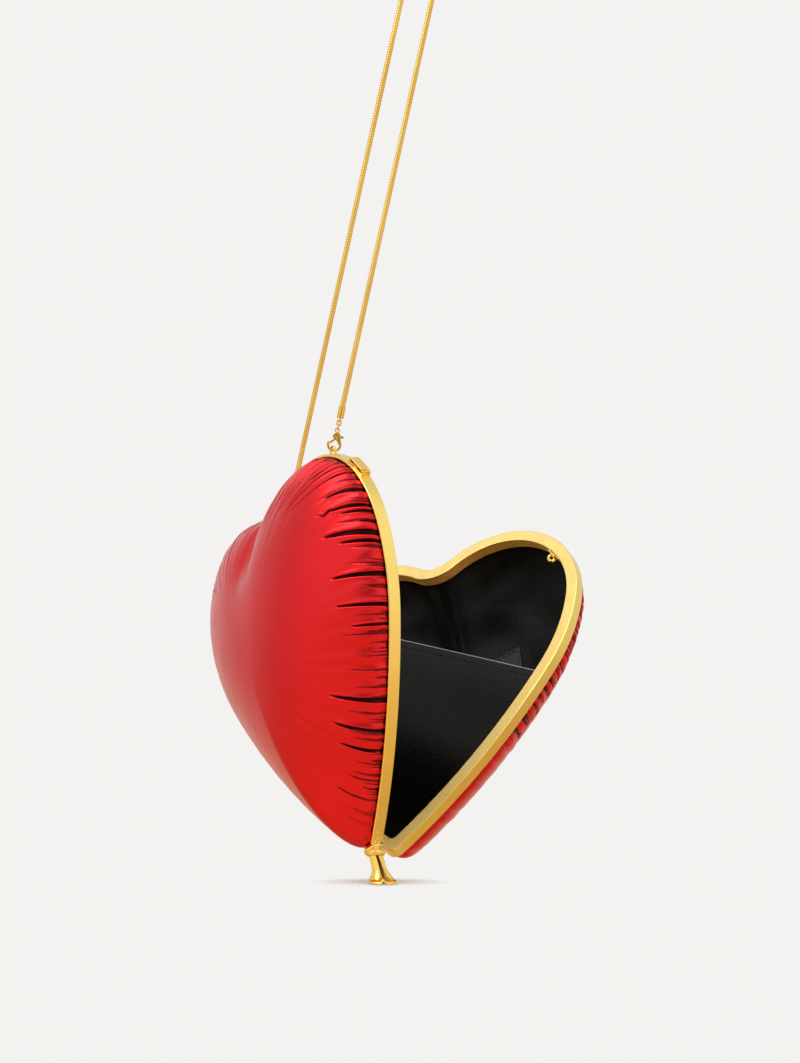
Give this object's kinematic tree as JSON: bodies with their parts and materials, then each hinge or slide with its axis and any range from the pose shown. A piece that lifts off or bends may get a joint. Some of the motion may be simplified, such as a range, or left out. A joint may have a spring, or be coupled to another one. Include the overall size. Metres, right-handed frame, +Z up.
{
  "type": "heart shaped purse",
  "caption": "Hard heart-shaped clutch with domed shells in channel frames, a side hinge with a stop, a press clasp, a lined inside with a slip pocket, and a chain on claws.",
  "frame": {"origin": "middle of the bend at the top of the chain, where the purse is held", "axes": "+X along the front half to the clasp side, +Y to the back half, +Z up"},
  "size_m": [0.1803, 0.1712, 0.4732],
  "materials": {
    "red_shell": "metallic foil gloss",
    "gold_frame": "polished",
    "gold_knot": "polished",
    "gold_hardware": "polished",
    "gold_chain": "satin",
    "black_leather": "fine grain",
    "spring_steel": "bright"
  },
  "bodies": {
    "front_half": {"front_shell": "red_shell", "front_frame": "gold_frame", "front_lining": "black_leather", "front_hinge_knuckles": "gold_frame", "hinge_pin": "gold_frame", "clasp_base": "gold_frame", "clasp_spring": "spring_steel", "balloon_knot": "gold_knot", "strap_chain": "gold_chain", "lobe_loop": "gold_frame", "lobe_claw": "gold_hardware", "lobe_trigger_pin": "gold_hardware", "lobe_jump_ring": "gold_hardware", "lobe_link": "gold_hardware", "lobe_end_cap": "gold_hardware", "cleft_loop": "gold_frame", "cleft_claw": "gold_hardware", "cleft_trigger_pin": "gold_hardware", "cleft_jump_ring": "gold_hardware", "cleft_link": "gold_hardware", "cleft_end_cap": "gold_hardware"},
    "back_half": {"back_shell": "red_shell", "back_frame": "gold_frame", "back_lining": "black_leather", "back_hinge_knuckles": "gold_frame", "slip_pocket": "black_leather", "leather_patch": "black_leather", "clasp_catch": "gold_frame"},
    "clasp_bar": {"clasp_bar": "gold_frame"},
    "lobe_trigger": {"lobe_trigger": "gold_hardware"},
    "cleft_trigger": {"cleft_trigger": "gold_hardware"}
  },
  "joints": [
    {"name": "back_half_hinge", "type": "hinge", "parent": "front_half", "child": "back_half", "pos_m": [-0.03471, -0.03962, -0.43813], "axis": [-0.9133, -0.0264, 0.4065], "range_deg": [-44.5, 0]},
    {"name": "clasp_press", "type": "slide", "parent": "front_half", "child": "clasp_bar", "axis": [-0.5126, 0.0557, -0.8568], "range_m": [0, 0.001], "stiffness_N_per_m": 500, "springref_m": -0.0008, "deforming": ["clasp_spring"]},
    {"name": "lobe_trigger_swing", "type": "hinge", "parent": "front_half", "child": "lobe_trigger", "pos_m": [-0.00342, -0.05261, -0.25702], "axis": [0.8686, -0.4955, 0], "range_deg": [0, 25], "stiffness_Nm_per_rad": 0.002, "springref_deg": -17.19},
    {"name": "cleft_trigger_swing", "type": "hinge", "parent": "front_half", "child": "cleft_trigger", "pos_m": [-0.05549, -0.05066, -0.28698], "axis": [0.8686, -0.4955, 0], "range_deg": [0, 25], "stiffness_Nm_per_rad": 0.002, "springref_deg": -17.19}
  ]
}
